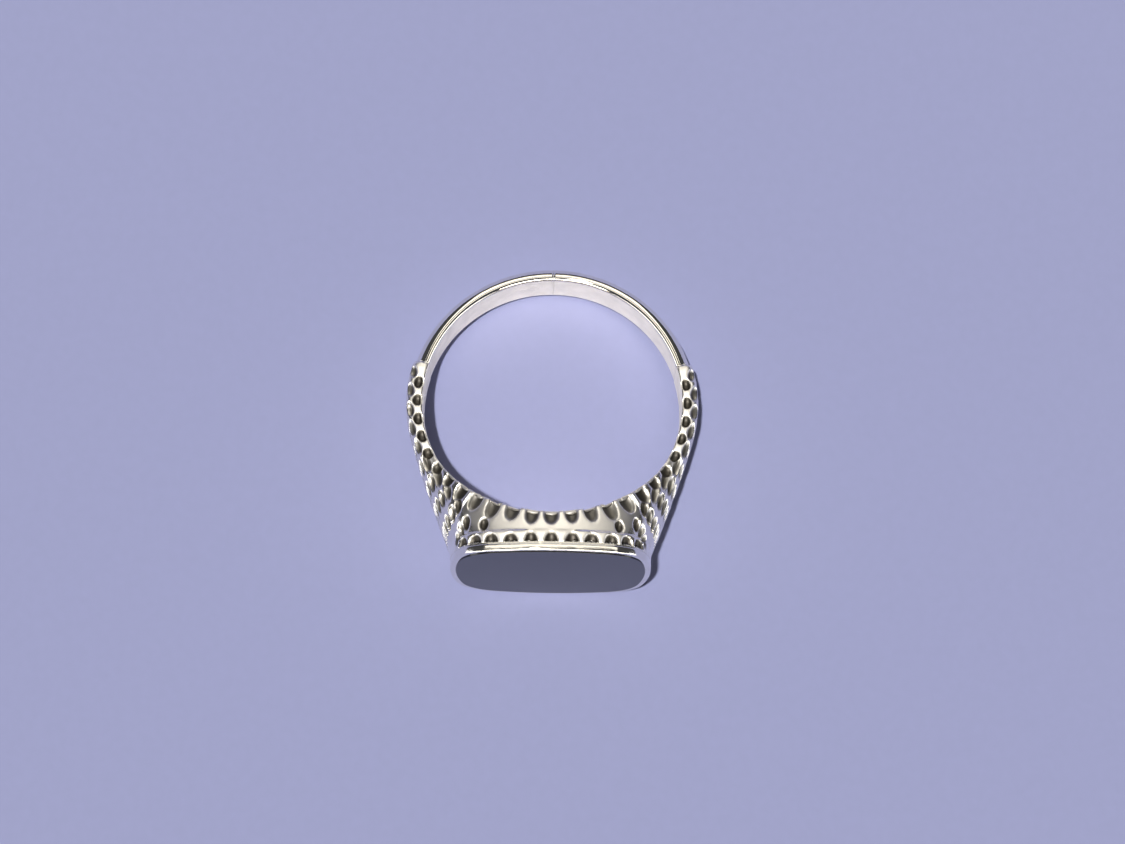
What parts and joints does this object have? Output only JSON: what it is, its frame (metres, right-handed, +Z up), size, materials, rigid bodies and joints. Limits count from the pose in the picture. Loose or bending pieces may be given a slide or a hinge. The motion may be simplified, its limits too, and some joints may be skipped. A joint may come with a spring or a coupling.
{
  "type": "signet ring",
  "caption": "Signet ring with a flat dark cushion-shaped stone in a plain collar, dimpled head and shoulders, and a plain D-section shank.",
  "frame": {"origin": "centre of the finger hole", "axes": "The ring lies on its side as it rests on a table: +Z is up, the stone faces -Y and the back of the shank is towards +Y. The finger hole's axis leans 12.16 degrees from +Z towards +Y."},
  "size_m": [0.0204, 0.0228, 0.0121],
  "materials": {
    "onyx": "polished black onyx",
    "cement": "cured jeweller's cement",
    "silver": "polished sterling silver",
    "solder": "polished silver solder"
  },
  "bodies": {
    "root": {"onyx_tablet": "onyx", "stone_cement": "cement", "bearing_ledge": "silver", "bezel_rim": "silver", "head_block": "silver", "left_shoulder": "silver", "right_shoulder": "silver", "left_shank": "silver", "right_shank": "silver", "bezel_solder": "solder", "left_head_solder": "solder", "right_head_solder": "solder", "left_shank_solder": "solder", "right_shank_solder": "solder", "back_seam_solder": "solder"}
  },
  "joints": []
}
